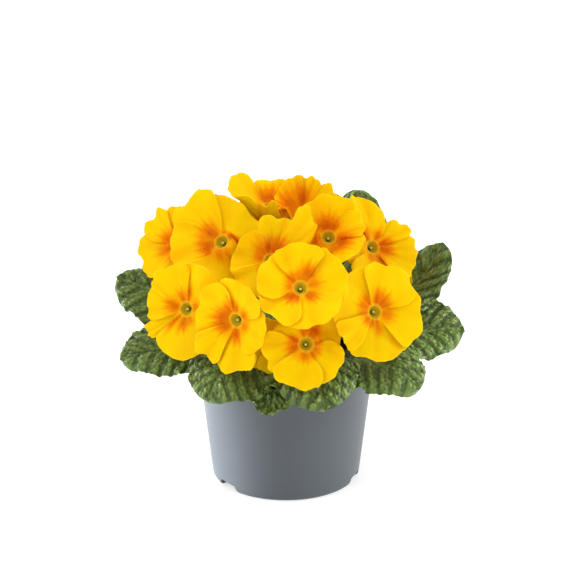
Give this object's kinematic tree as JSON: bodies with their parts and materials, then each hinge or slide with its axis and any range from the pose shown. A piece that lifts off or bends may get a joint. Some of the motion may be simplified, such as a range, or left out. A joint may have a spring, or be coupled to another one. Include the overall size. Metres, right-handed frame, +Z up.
{
  "type": "potted primrose",
  "caption": "Primrose with yellow, orange-flared flowers over crinkled green leaves, growing in peat in a tapered grey plastic nursery pot with notches in its foot.",
  "frame": {"origin": "on the ground, under the middle of the pot, which is the middle of the plant's box to within 1.5 mm", "axes": "+Z up along the pot's axis; the front of the plant, which the picture shows, faces -Y"},
  "size_m": [0.203, 0.1693, 0.175],
  "materials": {
    "pot_plastic": "blue-grey moulded plastic with a soft satin sheen",
    "peat": "dark crumbly peat, dry and matte",
    "leaf_green": "crinkled green leaf with pale veins and a greyish satin gloss on its upper side",
    "stalk_green": "pale green downy stalk and calyx",
    "petal_yellow": "bright yellow velvety petal with orange flares round a pale yellow ring and an olive throat"
  },
  "bodies": {
    "root": {"pot": "pot_plastic", "peat": "peat", "leaf_01": "leaf_green", "leaf_02": "leaf_green", "leaf_03": "leaf_green", "leaf_04": "leaf_green", "leaf_05": "leaf_green", "leaf_06": "leaf_green", "leaf_07": "leaf_green", "leaf_08": "leaf_green", "leaf_09": "leaf_green", "leaf_10": "leaf_green", "leaf_11": "leaf_green", "leaf_12": "leaf_green", "leaf_13": "leaf_green", "stalk_01": "stalk_green", "stalk_02": "stalk_green", "stalk_03": "stalk_green", "stalk_04": "stalk_green", "stalk_05": "stalk_green", "stalk_06": "stalk_green", "stalk_07": "stalk_green", "stalk_08": "stalk_green", "stalk_09": "stalk_green", "stalk_10": "stalk_green", "stalk_11": "stalk_green", "stalk_12": "stalk_green", "stalk_13": "stalk_green", "stalk_14": "stalk_green", "stalk_15": "stalk_green", "stalk_16": "stalk_green", "stalk_17": "stalk_green", "bloom_01": "petal_yellow", "bloom_02": "petal_yellow", "bloom_03": "petal_yellow", "bloom_04": "petal_yellow", "bloom_05": "petal_yellow", "bloom_06": "petal_yellow", "bloom_07": "petal_yellow", "bloom_08": "petal_yellow", "bloom_09": "petal_yellow", "bloom_10": "petal_yellow", "bloom_11": "petal_yellow", "bloom_12": "petal_yellow", "bloom_13": "petal_yellow", "bloom_14": "petal_yellow", "bloom_15": "petal_yellow", "bloom_16": "petal_yellow", "bloom_17": "petal_yellow"}
  },
  "joints": []
}
